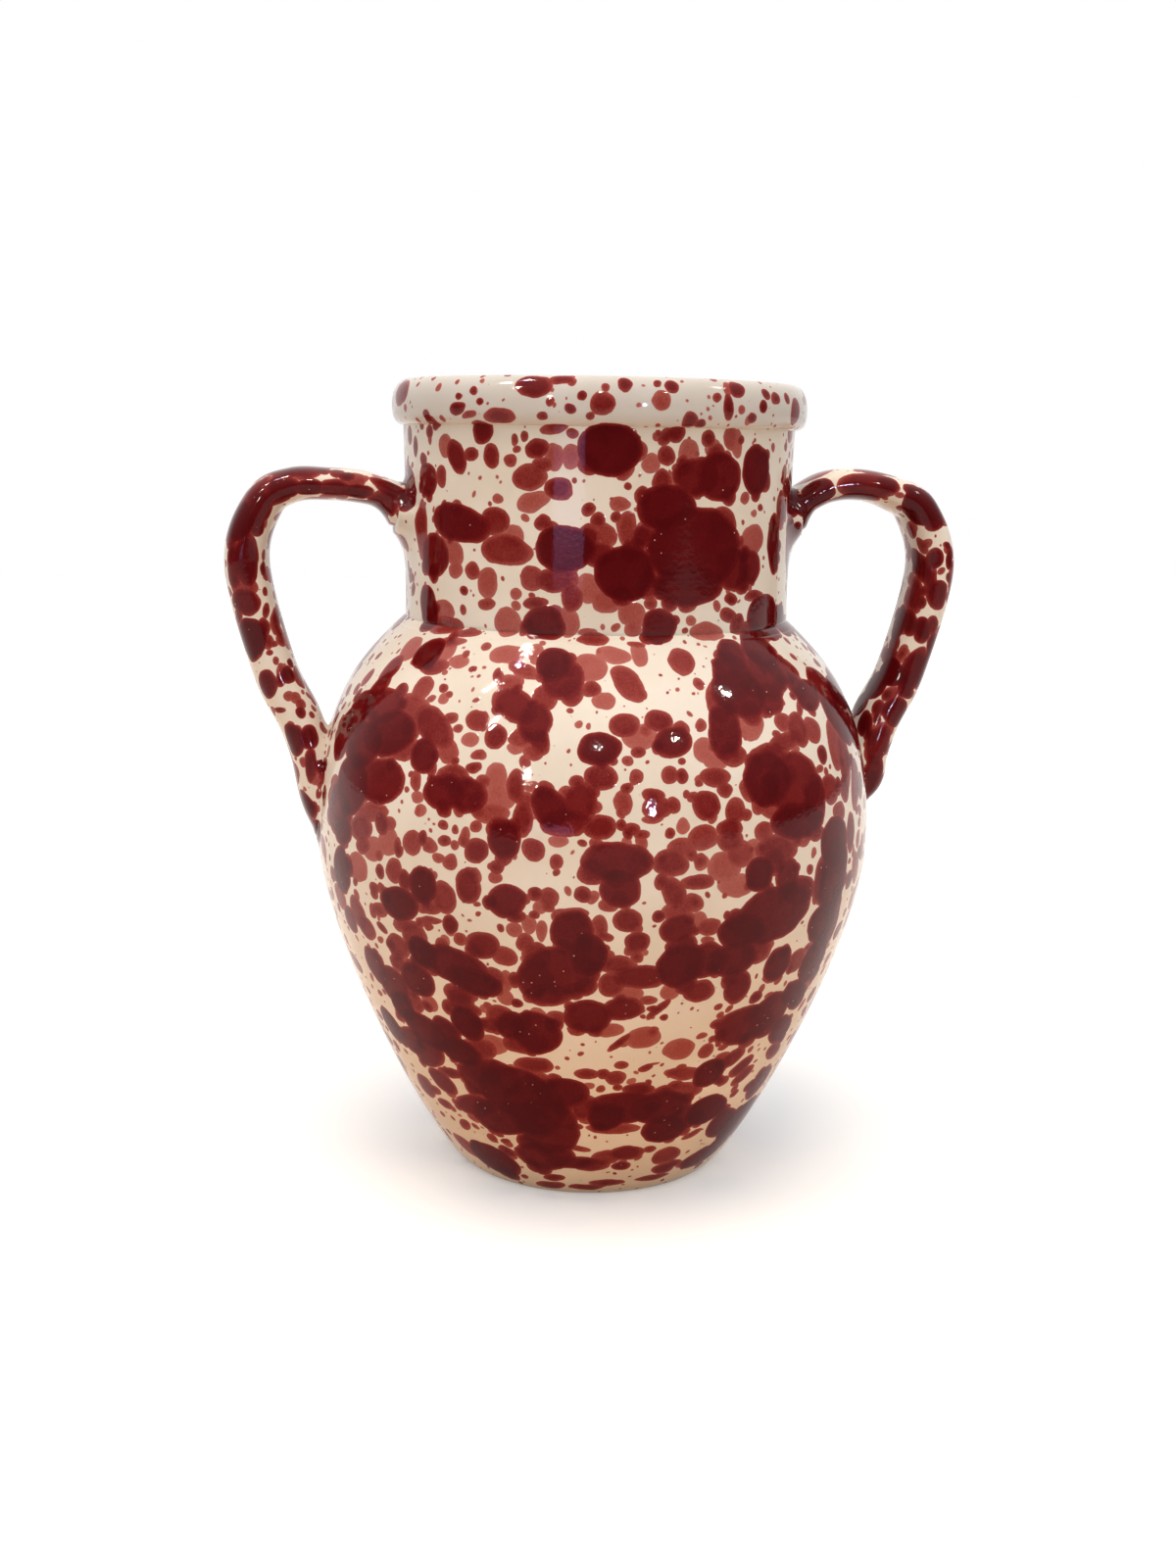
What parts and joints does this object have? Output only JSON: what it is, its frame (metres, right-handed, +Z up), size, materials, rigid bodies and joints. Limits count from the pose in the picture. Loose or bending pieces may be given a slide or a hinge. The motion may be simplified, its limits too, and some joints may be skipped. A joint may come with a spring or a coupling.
{
  "type": "two-handled vase",
  "caption": "Round-bellied ceramic vase with a straight wide neck, a rolled rim and a strap handle on each side, glazed cream with dark red splatter.",
  "frame": {"origin": "centre of the flat base, on the axis of the thrown body", "axes": "+Z up along the body's axis, +X towards the right handle, +Y away from the viewer of the front"},
  "size_m": [0.2874, 0.22, 0.3102],
  "materials": {
    "lower_body": "clear gloss glaze over a cream ground with dark red splatter",
    "shoulder": "clear gloss glaze over a cream ground with dark red splatter",
    "neck": "clear gloss glaze over a cream ground with dark red splatter",
    "rim": "clear gloss glaze over a cream ground with dark red splatter",
    "left_handle": "clear gloss glaze over a cream ground with dark red splatter",
    "right_handle": "clear gloss glaze over a cream ground with dark red splatter",
    "left_handle_upper_luting": "clear gloss glaze over a cream ground with dark red splatter",
    "left_handle_lower_luting": "clear gloss glaze over a cream ground with dark red splatter",
    "right_handle_upper_luting": "clear gloss glaze over a cream ground with dark red splatter",
    "right_handle_lower_luting": "clear gloss glaze over a cream ground with dark red splatter"
  },
  "bodies": {
    "root": {"lower_body": "lower_body", "shoulder": "shoulder", "neck": "neck", "rim": "rim", "left_handle": "left_handle", "right_handle": "right_handle", "left_handle_upper_luting": "left_handle_upper_luting", "left_handle_lower_luting": "left_handle_lower_luting", "right_handle_upper_luting": "right_handle_upper_luting", "right_handle_lower_luting": "right_handle_lower_luting"}
  },
  "joints": []
}
